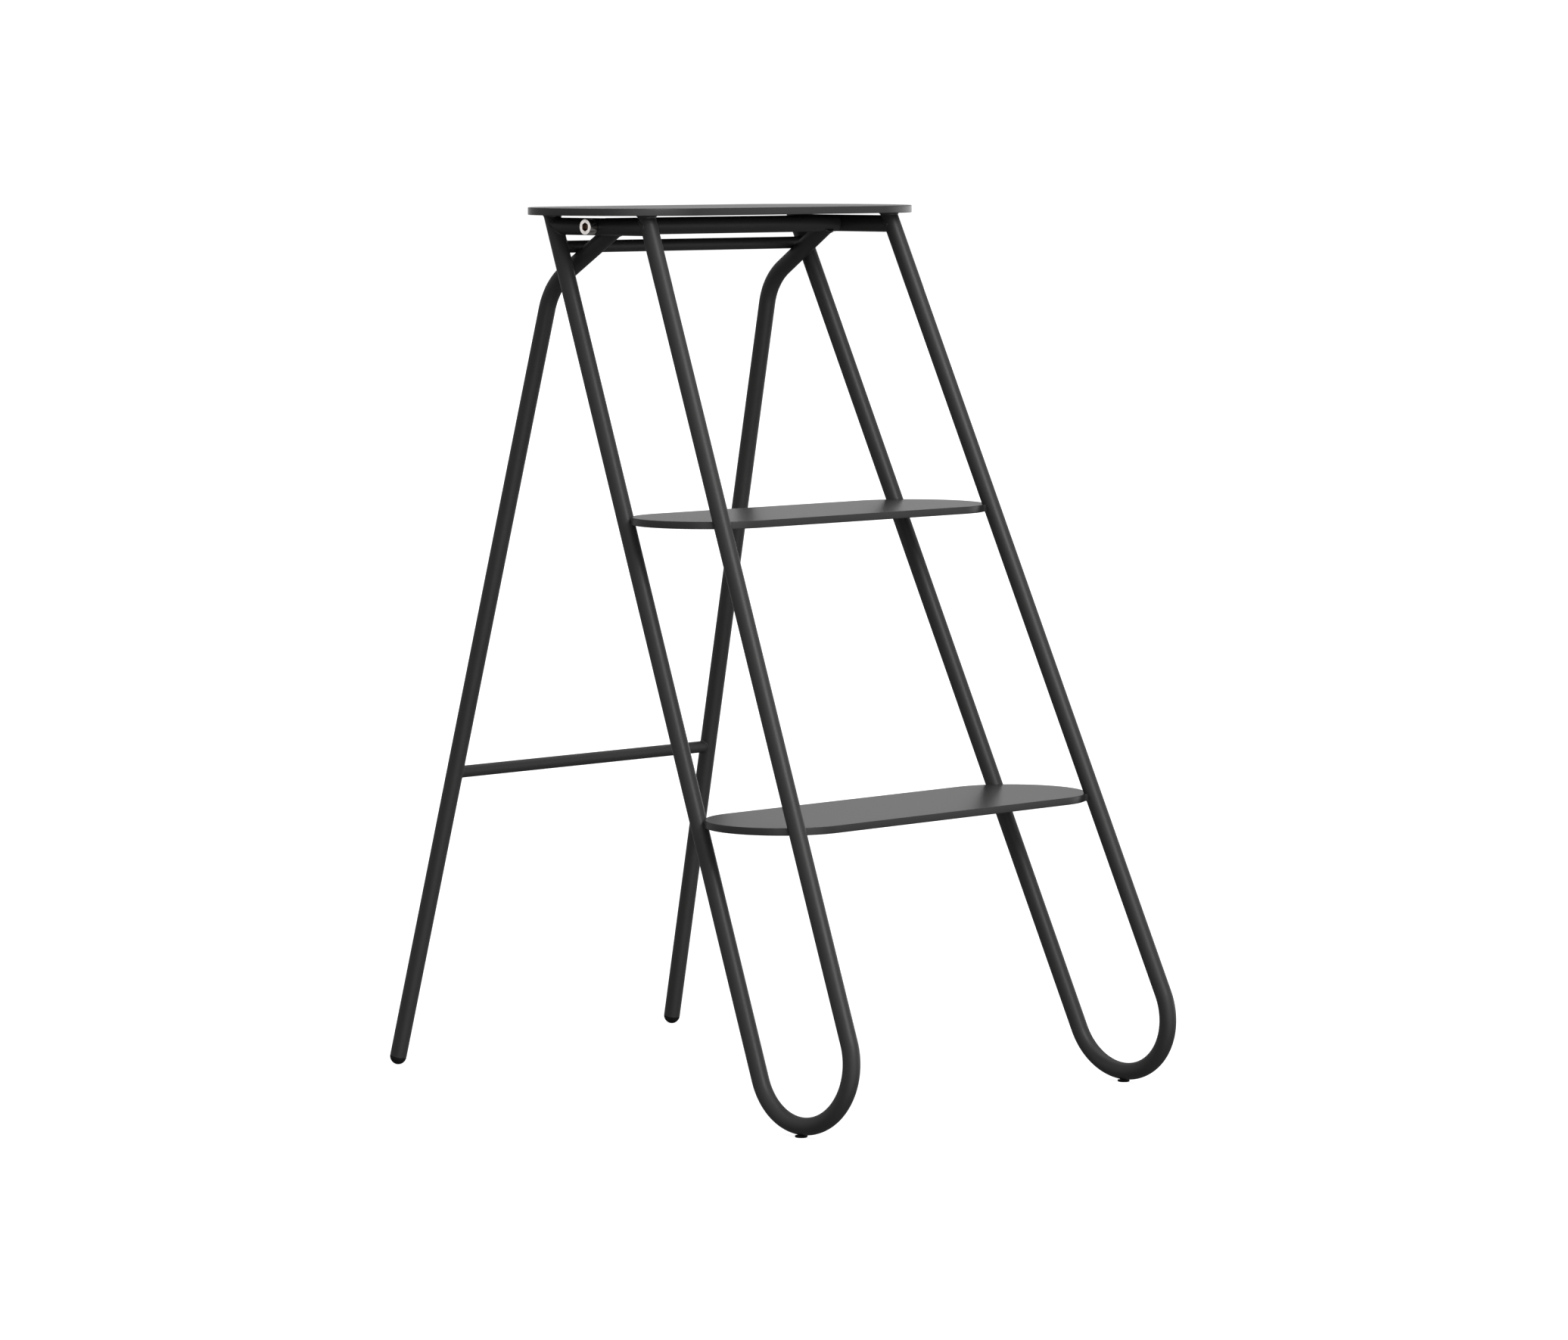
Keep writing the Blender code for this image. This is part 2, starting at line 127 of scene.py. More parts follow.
SIDES = {"left": -1, "right": 1}        # which way X runs to it
ENDS = {"front": -1, "rear": 1}         # which way Y runs to it
ALONG_X, ALONG_Y, UP = Vector((1, 0, 0)), Vector((0, 1, 0)), Vector((0, 0, 1))

# ---------------------------------------------------------------- places from the frame
platform_low, platform_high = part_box("platform")
PLATFORM_TOP = platform_high.z
PLATE_THICKNESS = platform_high.z - platform_low.z
CENTER_Y = (platform_low.y + platform_high.y) / 2
HINGE = Vector(frame["joints"][0]["pos_m"])
BRACE_HEIGHT = sum(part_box("rear_brace"), Vector()).z / 2
STOP_RAIL = sum(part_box("stop_rail"), Vector()) / 2
HINGE_TUBE_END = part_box("hinge_tube")[1].x


# ---------------------------------------------------------------- materials
WHITE = (1, 1, 1, 1)
MIX_FACTOR, MIX_LOW, MIX_HIGH, MIX_RESULT = 0, 6, 7, 2      # a Mix node's sockets for colours


class Nodes:
    """Short calls for building a node tree."""

    def __init__(self, tree):
        self.tree = tree

    def put(self, socket, value):
        """Links a socket to another node's output, or gives it a plain value."""
        if isinstance(value, bpy.types.NodeSocket):
            self.tree.links.new(value, socket)
        else:
            socket.default_value = value

    def add(self, kind, inputs, **settings):
        node = self.tree.nodes.new("ShaderNode" + kind)
        for key, value in settings.items():
            setattr(node, key, value)
        for key, value in inputs.items():
            self.put(node.inputs[key], value)
        return node

    def math(self, operation, *values):
        return self.add("Math", dict(enumerate(values)), operation=operation).outputs[0]

    def vector_math(self, operation, *values, output="Vector"):
        return self.add("VectorMath", dict(enumerate(values)), operation=operation).outputs[output]

    def ramp(self, value, start, end, low, high, curve="LINEAR"):
        """low up to where value is start, high from where it is end, and a ramp between."""
        inputs = {"Value": value, "From Min": start, "From Max": end, "To Min": low, "To Max": high}
        return self.add("MapRange", inputs, interpolation_type=curve).outputs["Result"]


class MaterialNodes(Nodes):
    """A new material, and short calls that work on its shader."""

    def __init__(self, name):
        self.material = bpy.data.materials.new(name)
        self.material.use_nodes = True
        super().__init__(self.material.node_tree)
        self.shader = self.tree.nodes["Principled BSDF"]
        self.place = self.add("TexCoord", {}).outputs["Object"]

    def set(self, key, value):
        self.put(self.shader.inputs[key], value)

    def noise(self, size, detail=2.0):
        """Noise from about 0 to 1, with features of a size in metres."""
        inputs = {"Vector": self.place, "Scale": 1 / size, "Detail": detail}
        return self.add("TexNoise", inputs).outputs["Fac"]

    def between(self, fac, low, high, span=(0.3, 0.7)):
        """fac from one value to another, reached where it is at the ends of span."""
        return self.ramp(fac, *span, low, high)

    def mix(self, fac, low, high):
        colors = {MIX_FACTOR: fac, MIX_LOW: low, MIX_HIGH: high}
        return self.add("Mix", colors, data_type="RGBA").outputs[MIX_RESULT]

    def bump(self, *layers):
        """Height layers as (pattern, height in metres), the first one lowest."""
        normal = None
        for pattern, height in layers:
            inputs = {"Height": pattern, "Distance": height, "Strength": 1.0}
            if normal:
                inputs["Normal"] = normal
            normal = self.add("Bump", inputs).outputs["Normal"]
        self.set("Normal", normal)


def grey(level, warmth=0.0):
    return (level * (1 + warmth), level, level * (1 - warmth), 1.0)


def powder_coat(name, peel_height, grain_height, roughness, uneven):
    """Satin black polyester powder: a fine grain on a soft orange peel, a little uneven in tone.
    uneven is how much the grain adds to the roughness. Broad patches add 0.7 of that."""
    coat = MaterialNodes(name)
    patches = coat.noise(0.045, detail=3.0)
    grain = coat.noise(0.0007, detail=3.0)
    peel = coat.noise(0.0028)
    tone = coat.mix(coat.between(patches, 0, 1), grey(0.029), grey(0.032, 0.01))
    specks = coat.between(grain, 0, 1, (0.62, 0.80))
    coat.set("Base Color", coat.mix(specks, tone, grey(0.035)))
    patchy = coat.between(patches, roughness, roughness + uneven * 0.7)
    coat.set("Roughness", coat.math("ADD", patchy, coat.between(grain, 0.0, uneven)))
    coat.set("Specular IOR Level", 0.5)
    coat.bump((peel, peel_height), (grain, grain_height))
    return coat.material


def rubber(name):
    """Matt black moulded rubber with a fine dusty grain."""
    pad = MaterialNodes(name)
    grain = pad.noise(0.0006, detail=4.0)
    dust = pad.between(pad.noise(0.006, detail=3.0), 0, 1, (0.45, 0.75))
    pad.set("Base Color", pad.mix(dust, grey(0.007), grey(0.015, 0.03)))
    pad.set("Roughness", pad.between(grain, 0.66, 0.82))
    pad.set("Specular IOR Level", 0.2)
    pad.bump((grain, 0.00003))
    return pad.material


def nylon(name):
    """Black moulded nylon, smoother than the rubber."""
    bush = MaterialNodes(name)
    grain = bush.noise(0.0009)
    bush.set("Base Color", bush.mix(bush.between(grain, 0, 1), grey(0.016), grey(0.022)))
    bush.set("Roughness", bush.between(grain, 0.42, 0.52))
    bush.bump((grain, 0.00001))
    return bush.material


def turned_steel(name):
    """Bright stainless steel with fine turning rings about the hinge axis and a few soft stains,
    and painted shade: a darker, browner colour inside the screw's socket."""
    # the third colour is painted shade: the socket's recess is coloured dark, not shaded by light
    clean, stained, socket_painted_shade = (0.66, 0.63, 0.61, 1), (0.56, 0.53, 0.51, 1), (0.28, 0.22, 0.185, 1)
    ring_pitch = 0.00016
    steel = MaterialNodes(name)
    from_hinge = steel.vector_math("SUBTRACT", steel.place, tuple(HINGE))
    flat = steel.vector_math("MULTIPLY", from_hinge, (0, 1, 1))
    radius = steel.vector_math("LENGTH", flat, output="Value")
    waver = steel.between(steel.noise(0.002), 0, 0.00006)
    turns = steel.math("MULTIPLY", steel.math("ADD", radius, waver), 2 * math.pi / ring_pitch)
    stains = steel.noise(0.003, detail=4.0)
    tone = steel.mix(steel.between(stains, 0, 1), clean, stained)
    # inside the socket the painted shade colour takes over from the steel
    past_socket_painted_shade = steel.between(radius, 0, 1, (0.0033, 0.0037))
    steel.set("Base Color", steel.mix(past_socket_painted_shade, socket_painted_shade, tone))
    steel.set("Metallic", 1.0)
    steel.set("Roughness", steel.between(stains, 0.20, 0.30))
    steel.bump((steel.math("SINE", turns), 0.0000012))
    return steel.material


COAT = powder_coat("black_powder_coat", peel_height=0.000018, grain_height=0.000006,
                   roughness=0.40, uneven=0.06)
PLATE_COAT = powder_coat("black_powder_coat_plates", peel_height=0.0000003, grain_height=0.0000001,
                         roughness=0.32, uneven=0.003)
RUBBER = rubber("black_rubber")
NYLON = nylon("black_nylon")
STEEL = turned_steel("bolt_steel")


# ---------------------------------------------------------------- mesh tools
def mesh_object(name, bm):
    """An object in the scene made from a bmesh, which is used up."""
    mesh = bpy.data.meshes.new(name)
    bm.to_mesh(mesh)
    bm.free()
    obj = bpy.data.objects.new(name, mesh)
    bpy.context.scene.collection.objects.link(obj)
    return obj


def shade(mesh, smooth_angle):
    """Smooth shading, with sharp edges where faces meet at more than an angle in degrees."""
    mesh.shade_smooth()
    mesh.set_sharp_from_angle(angle=math.radians(smooth_angle))


def piece(name, bm, body, material=COAT, replaces=(), smooth_angle=SMOOTH_ANGLE):
    """A finished piece from a bmesh that is built in place."""
    bmesh.ops.recalc_face_normals(bm, faces=bm.faces)
    obj = mesh_object(name, bm)
    obj.data.materials.append(material)
    shade(obj.data, smooth_angle)
    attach(obj, body)
    if replaces:
        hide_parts(*replaces)
    return obj


def skin(bm, rings, closed=False):
    """Quads between rings of vertices, each ring closed on itself."""
    for low, high in zip(rings, rings[1:] + rings[:1] if closed else rings[1:]):
        for k, vert in enumerate(low):
            after = (k + 1) % len(low)
            bm.faces.new((vert, low[after], high[after], high[k]))


def loft(rings, closed=False):
    """A bmesh through rings of points, which run in a closed loop or else have flat ends."""
    bm = bmesh.new()
    verts = [[bm.verts.new(point) for point in ring] for ring in rings]
    skin(bm, verts, closed)
    if not closed:
        bm.faces.new(verts[0])
        bm.faces.new(verts[-1])
    return bm


def off_axis(vector, axis):
    """The part of a vector that is square to a unit axis."""
    return vector - axis * vector.dot(axis)


def circle(center, normal, side, radius, sides):
    """Points round center. side is a direction in the circle's plane, where it starts."""
    other = normal.cross(side)
    turns = (2 * math.pi * (k + 0.5) / sides for k in range(sides))
    return [center + radius * (math.cos(a) * side + math.sin(a) * other) for a in turns]


def tangents_of(path, closed=False):
    """The direction of travel at each point of a path."""
    steps = [(b - a).normalized() for a, b in zip(path, path[1:])]
    if closed:
        last = (path[0] - path[-1]).normalized()
        return [(a + b).normalized() for a, b in zip([last, *steps], [*steps, last])]
    return [steps[0], *((a + b).normalized() for a, b in zip(steps, steps[1:])), steps[-1]]


def rings_along(path, radius):
    """Rings of points round a path, without twist."""
    tangents = tangents_of(path)
    side = tangents[0].orthogonal().normalized()
    rings = []
    for point, tangent in zip(path, tangents):
        side = off_axis(side, tangent).normalized()
        rings.append(circle(point, tangent, side, radius, TUBE_SIDES))
    return rings


def tube_mesh(path, radius, inner=None, start=None, end=None):
    """A bmesh of a tube along path, hollow where the radius inner is given, and its two outer end
    rings. start and end, such as a cope, move each end's points along the tube onto what it meets."""
    bm = bmesh.new()
    away = {0: (path[1] - path[0]).normalized(), -1: (path[-2] - path[-1]).normalized()}
    skins = []
    for r in filter(None, (radius, inner)):
        rings = rings_along(path, r)
        for index, trim in ((0, start), (-1, end)):
            if trim:
                rings[index] = [trim(point, away[index]) for point in rings[index]]
        skins.append(rings)
    verts = [[[bm.verts.new(p) for p in ring] for ring in rings] for rings in skins]
    for rings in verts:
        skin(bm, rings)
    for index in (0, -1):
        if inner:
            skin(bm, [verts[0][index], verts[1][index]])
        else:
            bm.faces.new(verts[0][index])
    return bm, skins[0][0], skins[0][-1]


def at_height(height):
    """Trims a tube's end level, where it meets a plate."""
    return lambda point, away: point + away * ((height - point.z) / away.z)


def cope(origin, axis, radius):
    """Trims a tube's end onto the side of another tube. A point whose line misses that tube ends
    beside its axis."""
    def trim(point, away):
        offset = off_axis(point - origin, axis)
        along = off_axis(away, axis)
        middle = -offset.dot(along) / along.length_squared
        room = radius ** 2 - (offset + along * middle).length_squared
        return point + away * (middle + math.sqrt(max(room, 0) / along.length_squared))
    return trim


def turned(profile, place):
    """A piece turned about +Z from (radius, height) points, then put in place. It is closed at the
    axis, or where the last point is the first again, it is a ring."""
    bm = bmesh.new()
    rings = []
    is_ring = profile[0] == profile[-1]
    for radius, height in profile[:-1] if is_ring else profile:
        center = Vector((0, 0, height))
        points = circle(center, UP, ALONG_X, radius, TUBE_SIDES) if radius else [center]
        rings.append([bm.verts.new(p) for p in points])
    for low, high in zip(rings, rings[1:] + rings[:1] if is_ring else rings[1:]):
        for k in range(TUBE_SIDES):
            after = (k + 1) % TUBE_SIDES
            corners = (low[k % len(low)], low[after % len(low)],
                       high[after % len(high)], high[k % len(high)])
            bm.faces.new(list(dict.fromkeys(corners)))      # a triangle at the axis
    bmesh.ops.transform(bm, matrix=place, verts=bm.verts)
    return bm


def rounded(radius, center, start_angle, end_angle):
    """Points of a small arc in a profile or an outline. Angles are in degrees."""
    turns = (math.radians(start_angle + (end_angle - start_angle) * k / ROUND_STEPS)
             for k in range(ROUND_STEPS + 1))
    return [(center[0] + radius * math.cos(a), center[1] + radius * math.sin(a)) for a in turns]


def axis_matrix(origin, direction):
    """Puts a piece that is built along +Z at origin, pointing along direction."""
    return Matrix.Translation(origin) @ direction.to_track_quat("Z", "Y").to_matrix().to_4x4()


def cut(obj, *cutters):
    """Cuts solids, given as bmeshes, out of a piece for good."""
    solids = []
    for k, bm in enumerate(cutters):
        bmesh.ops.recalc_face_normals(bm, faces=bm.faces)
        solid = mesh_object(f"{obj.name}_cutter_{k}", bm)
        boolean = obj.modifiers.new(solid.name, "BOOLEAN")
        boolean.operation = "DIFFERENCE"
        boolean.object = solid
        solids.append(solid)
    bpy.context.view_layer.update()
    result = bpy.data.meshes.new_from_object(obj.evaluated_get(bpy.context.evaluated_depsgraph_get()))
    obj.modifiers.clear()
    obj.data = result
    shade(result, SMOOTH_ANGLE)
    for solid in solids:
        bpy.data.objects.remove(solid, do_unlink=True)


# ---------------------------------------------------------------- welds
def ripple(path):
    """How thick a weld is at each point of its closed path, as a share: slightly wavy, as laid."""
    total = sum((b - a).length for a, b in zip(path, path[1:] + path[:1]))
    waves = max(3, round(total / WELD_PITCH))
    run, shares = 0.0, []
    for before, point in zip([path[0], *path], path):
        run += (point - before).length
        shares.append(1 + WELD_RIPPLE * math.sin(2 * math.pi * waves * run / total))
    return shares


def fillet(name, body, seam, leg):
    """A weld all round a corner between two surfaces. seam holds, for each point along the corner,
    the point and the two surfaces' normals there."""
    rings = []
    for (point, normal, other), share in zip(seam, ripple([point for point, _, _ in seam])):
        along, across = off_axis(other, normal).normalized(), off_axis(normal, other).normalized()
        size = leg * share
        start, finish = point + along * size, point + across * size
        hollow = point + (along + across) * size * WELD_HOLLOW
        face = [start * (1 - t) ** 2 + hollow * 2 * t * (1 - t) + finish * t ** 2
                for t in (step / ROUND_STEPS for step in range(ROUND_STEPS + 1))]
        rings.append([*face, point - (normal + other).normalized() * leg * WELD_ROOT])
    piece(name, loft(rings, closed=True), body, smooth_angle=WELD_SMOOTH_ANGLE)


def bead(name, body, ring, center, radius, sink):
    """A round weld bead along a tube's end ring, sunk towards the joint's center."""
    path = [point + (center - point).normalized() * sink for point in ring]
    middle = sum(path, Vector()) / len(path)
    rings = []
    for point, tangent, share in zip(path, tangents_of(path, closed=True), ripple(path)):
        side = off_axis(point - middle, tangent).normalized()
        rings.append(circle(point, tangent, side, radius * share, BEAD_SIDES))
    piece(name, loft(rings, closed=True), body, smooth_angle=WELD_SMOOTH_ANGLE)


# ---------------------------------------------------------------- lines that the tubes follow
def hairpin_point(side, height, offset=0.0):
    """On the hairpin's middle line at a height, or offset along Y from it."""
    drop = PLATFORM_TOP - height
    return Vector((side * (HAIRPIN_HALF_WIDTH + HAIRPIN_SPLAY * drop),
                   CENTER_Y + HAIRPIN_MIDDLE - HAIRPIN_LEAN * drop + offset, height))


def leg_point(side, height):
    """On the rear leg's middle line at a height."""
    drop = PLATFORM_TOP - height
    return Vector((side * (LEG_HALF_WIDTH + LEG_SPLAY * drop),
                   CENTER_Y + LEG_START + LEG_SLOPE * drop, height))


def hairpin_down(side):
    return Vector((side * HAIRPIN_SPLAY, -HAIRPIN_LEAN, -1)).normalized()


def leg_down(side):
    return Vector((side * LEG_SPLAY, LEG_SLOPE, -1)).normalized()


TUBE_OFFSET = HAIRPIN_BEND / math.sqrt(1 - hairpin_down(1).y ** 2)
BEND_DROP = HAIRPIN_BEND / math.hypot(1, HAIRPIN_SPLAY)
BEND_HEIGHT = PAD_THICKNESS + GAP + TUBE_RADIUS + BEND_DROP
LEG_TILT = math.acos(-leg_down(1).z)
LEG_END_HEIGHT = math.hypot(TUBE_RADIUS * math.sin(LEG_TILT), CAP_DOME * math.cos(LEG_TILT))
RAIL_X = HAIRPIN_HALF_WIDTH + HAIRPIN_SPLAY * (PLATFORM_TOP - HINGE.z)
UNDERSIDE = PLATFORM_TOP - PLATE_THICKNESS


def hairpin_cope(side, end):
    """Trims onto the front or rear tube of a hairpin, near the hinge's height."""
    return cope(hairpin_point(side, HINGE.z, ENDS[end] * TUBE_OFFSET), hairpin_down(side), TUBE_RADIUS)


def hairpin_path(side):
    down = hairpin_down(side)
    across = off_axis(ALONG_Y, down).normalized()
    center = hairpin_point(side, BEND_HEIGHT)
    turns = [math.pi * k / BEND_STEPS for k in range(BEND_STEPS + 1)]
    bend = [center + HAIRPIN_BEND * (down * math.sin(a) - across * math.cos(a)) for a in turns]
    top = UNDERSIDE - GAP
    return [hairpin_point(side, top, -TUBE_OFFSET), *bend, hairpin_point(side, top, TUBE_OFFSET)]


def rounded_corner(before, corner, after, radius, steps):
    """Points of the arc that rounds a corner between two straight runs."""
    a, b = (before - corner).normalized(), (after - corner).normalized()
    half = a.angle(b) / 2
    center = corner + (a + b).normalized() * (radius / math.sin(half))
    start, end = (corner + ray * (radius / math.tan(half)) - center for ray in (a, b))
    turn = start.angle(end)
    axis = start.cross(end).normalized()
    return [center + Matrix.Rotation(turn * k / steps, 3, axis) @ start for k in range(steps + 1)]


def rear_leg_path(side):
    under = Vector((side * ARM_START_X, HINGE.y, HINGE.z - ARM_UNDER_HINGE))
    corner = leg_point(side, PLATFORM_TOP - LEG_CORNER_DROP)
    foot = leg_point(side, LEG_END_HEIGHT)
    return [under, *rounded_corner(under, corner, foot, LEG_BEND, BEND_STEPS // 4),
            foot + (corner - foot).normalized() * GAP]


# ---------------------------------------------------------------- plates and their welds
def plate_mesh(node):
    """A flat plate with half-round ends and rounded edges, in the box of its CAD node."""
    low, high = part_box(node)
    end_radius = (high.y - low.y) / 2
    straight = (high.x - low.x) / 2 - end_radius
    middle = (low + high) / 2
    turns = [math.pi * (k / PLATE_END_STEPS - 0.5) for k in range(PLATE_END_STEPS + 1)]
    quarter = [math.pi / 2 * k / ROUND_STEPS for k in range(ROUND_STEPS + 1)]
    radius = PLATE_EDGE_RADIUS
    top = [(2 * radius, 0)]
    top += [(radius * (1 - math.sin(a)), radius * (1 - math.cos(a))) for a in quarter]
    bottom = [(inset, PLATE_THICKNESS - down) for inset, down in reversed(top)]
    rings = []
    for inset, down in top + bottom:
        reach = end_radius - inset
        rings.append([(middle.x + side * (straight + reach * math.cos(a)),
                       middle.y + side * reach * math.sin(a), high.z - down)
                      for side in (1, -1) for a in turns])
    return loft(rings)


def make_plates():
    """The platform, and the two treads with a scallop and a weld at each tube."""
    piece("platform_plate", plate_mesh("platform"), "front_frame", PLATE_COAT, ["platform"])
    margin = 3 * PLATE_THICKNESS        # of the cutters above and below a tread
    for node in ("middle_tread", "bottom_tread"):
        tread = piece(node + "_plate", plate_mesh(node), "front_frame", PLATE_COAT, [node])
        low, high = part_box(node)
        scallops = []
        for hand, side in SIDES.items():
            for end, offset in ENDS.items():
                run = [hairpin_point(side, height, offset * TUBE_OFFSET)
                       for height in (low.z - margin, high.z + margin)]
                scallops.append(tube_mesh(run, TUBE_RADIUS + GAP / 2)[0])
                tread_joint(f"{node}_weld_{end}_{hand}", node, side, offset)
        cut(tread, *scallops)


def tread_joint(name, tread, side, offset):
    """The weld where a tread's round end touches a tube: it fills the wedge on both sides of where
    they touch, as high as the plate, and flares out at the tube."""
    low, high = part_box(tread)
    radius = (high.y - low.y) / 2
    middle = (low + high) / 2
    arc_center = Vector((side * ((high.x - low.x) / 2 - radius), middle.y, middle.z))
    tube = hairpin_point(side, middle.z, offset * TUBE_OFFSET)
    toward = (tube - arc_center).normalized()
    across = UP.cross(toward)
    onto_tube = cope(tube, hairpin_down(side), TUBE_RADIUS - GAP)
    root = tube - toward * (TUBE_RADIUS + JOINT_ROOT)

    def outline(center, rise):
        corners = rounded_rectangle(JOINT_WIDTH + rise, PLATE_THICKNESS - GAP + 2 * rise, JOINT_CORNER)
        return [center + across * x + UP * z for x, z in corners]

    rings = [outline(root, 0)]
    for back, rise in JOINT_FLARES:
        rings.append([onto_tube(point, -toward) - toward * back for point in outline(tube, rise)])
    piece(name, loft(rings), "front_frame", smooth_angle=JOINT_SMOOTH_ANGLE)


def rounded_rectangle(width, height, radius):
    points = []
    for k, (x, y) in enumerate(((1, 1), (-1, 1), (-1, -1), (1, -1))):
        center = (x * (width / 2 - radius), y * (height / 2 - radius))
        points += rounded(radius, center, 90 * k, 90 * k + 90)
    return points


# ---------------------------------------------------------------- front frame
def make_hairpins():
    """The two bent legs, each with a hole for its foot pad and welded to the platform twice."""
    for hand, side in SIDES.items():
        level = at_height(UNDERSIDE)
        bm, front_ring, rear_ring = tube_mesh(hairpin_path(side), TUBE_RADIUS, TUBE_RADIUS - TUBE_WALL,
                                              level, level)
        leg = piece(f"hairpin_{hand}", bm, "front_frame", replaces=[f"hairpin_leg_{hand}"])
        foot = pad_point(side)
        hole_top = foot + Vector((0, 0, PAD_THICKNESS + TUBE_WALL * 2))
        cut(leg, tube_mesh([foot, hole_top], PAD_STEM_RADIUS + GAP)[0])
        for end, ring in (("front", front_ring), ("rear", rear_ring)):
            center = hairpin_point(side, UNDERSIDE, ENDS[end] * TUBE_OFFSET)
            seam = [(point, off_axis(point - center, hairpin_down(side)).normalized(), -UP)
                    for point in ring]
            fillet(f"platform_weld_{end}_{hand}", "front_frame", seam, WELD_LEG)


def make_rails():
    """The two side rails, drilled for the hinge, and the stop rail, with their welds."""
    for hand, side in SIDES.items():
        front = hairpin_point(side, HINGE.z, -TUBE_OFFSET)
        rear = hairpin_point(side, HINGE.z, TUBE_OFFSET)
        bm, front_ring, rear_ring = tube_mesh([front, rear], TUBE_RADIUS, TUBE_RADIUS - TUBE_WALL,
                                              hairpin_cope(side, "front"), hairpin_cope(side, "rear"))
        rail = piece(f"side_rail_{hand}", bm, "front_frame", replaces=[f"fore_aft_rail_{hand}"])
        pivot = Vector((side * RAIL_X, HINGE.y, HINGE.z))
        across = Vector((2 * TUBE_RADIUS, 0, 0))
        cut(rail, tube_mesh([pivot - across, pivot + across], BUSH_RADIUS + GAP)[0])
        for end, ring, center in (("front", front_ring, front), ("rear", rear_ring, rear)):
            bead(f"side_rail_weld_{end}_{hand}", "front_frame", ring, center, *RAIL_BEAD)

    left, right = (hairpin_point(side, STOP_RAIL.z, TUBE_OFFSET) for side in (-1, 1))
    bm, left_ring, right_ring = tube_mesh([left, right], ROD_RADIUS, None,
                                          hairpin_cope(-1, "rear"), hairpin_cope(1, "rear"))
    piece("stop_rail_rod", bm, "front_frame", replaces=["stop_rail"])
    for hand, ring, center in (("left", left_ring, left), ("right", right_ring, right)):
        bead(f"stop_rail_weld_{hand}", "front_frame", ring, center, *ROD_BEAD)


def pad_point(side):
    """On the floor, under the lowest point of the hairpin's bend."""
    center = hairpin_point(side, BEND_HEIGHT)
    return Vector((center.x + side * BEND_DROP * HAIRPIN_SPLAY, center.y, 0))


def make_foot_pads():
    """Small rubber discs with a rounded bottom, and a stem that goes up into the tube."""
    edge = SMALL_EDGE
    bottom_center = (PAD_RADIUS - PAD_BOTTOM_RADIUS, PAD_BOTTOM_RADIUS)
    stem_top = PAD_THICKNESS + PAD_STEM_LENGTH
    profile = [(0, 0), *rounded(PAD_BOTTOM_RADIUS, bottom_center, -90, 0),
               *rounded(edge, (PAD_RADIUS - edge, PAD_THICKNESS - edge), 0, 90),
               (PAD_STEM_RADIUS + edge, PAD_THICKNESS), (PAD_STEM_RADIUS, PAD_THICKNESS + edge),
               (PAD_STEM_RADIUS, stem_top), (0, stem_top)]
    for hand, side in SIDES.items():
        bm = turned(profile, Matrix.Translation(pad_point(side)))
        piece(f"foot_pad_rubber_{hand}", bm, "front_frame", RUBBER, [f"foot_pad_{hand}"])


def make_bushes():
    """Flanged bushes in the side rails, which the hinge tube's ends run against."""
    edge = BUSH_EDGE
    for hand, side in SIDES.items():
        start = Vector((side * (HINGE_TUBE_END + GAP), HINGE.y, HINGE.z))
        profile = [(BUSH_BORE, 0), *rounded(edge, (BUSH_FLANGE_RADIUS - edge, edge), -90, 0),
                   *rounded(edge, (BUSH_FLANGE_RADIUS - edge, BUSH_FLANGE - edge), 0, 90),
                   (BUSH_RADIUS, BUSH_FLANGE), (BUSH_RADIUS, BUSH_FLANGE + BUSH_SLEEVE),
                   (BUSH_BORE, BUSH_FLANGE + BUSH_SLEEVE), (BUSH_BORE, 0)]
        bm = turned(profile, axis_matrix(start, ALONG_X * side))
        piece(f"nylon_bush_{hand}", bm, "front_frame", NYLON, [f"hinge_bush_{hand}"])


# ---------------------------------------------------------------- rear frame
def make_rear_frame():
    """The hinge tube, and the rear legs with their brace, welds, caps and screws."""
    across = Vector((HINGE_TUBE_END, 0, 0))
    bm, _, _ = tube_mesh([HINGE - across, HINGE + across], TUBE_RADIUS, TUBE_RADIUS - TUBE_WALL)
    piece("hinge_cross_tube", bm, "rear_frame", replaces=["hinge_tube"])

    ends = {}
    for hand, side in SIDES.items():
        path = rear_leg_path(side)
        bm, arm_ring, _ = tube_mesh(path, TUBE_RADIUS, TUBE_RADIUS - TUBE_WALL,
                                    cope(HINGE, ALONG_X, TUBE_RADIUS))
        piece(f"rear_leg_tube_{hand}", bm, "rear_frame", replaces=[f"rear_leg_{hand}"])
        bead(f"arm_weld_{hand}", "rear_frame", arm_ring, path[0], *ARM_BEAD)
        ends[hand] = leg_point(side, BRACE_HEIGHT)
        make_end_cap(hand, side)
        make_pivot_bolt(hand, side)

    bm, left_ring, right_ring = tube_mesh([ends["left"], ends["right"]], ROD_RADIUS, None,
                                          cope(ends["left"], leg_down(-1), TUBE_RADIUS),
                                          cope(ends["right"], leg_down(1), TUBE_RADIUS))
    piece("rear_brace_rod", bm, "rear_frame", replaces=["rear_brace"])
    for hand, ring in (("left", left_ring), ("right", right_ring)):
        bead(f"rear_brace_weld_{hand}", "rear_frame", ring, ends[hand], *ROD_BEAD)


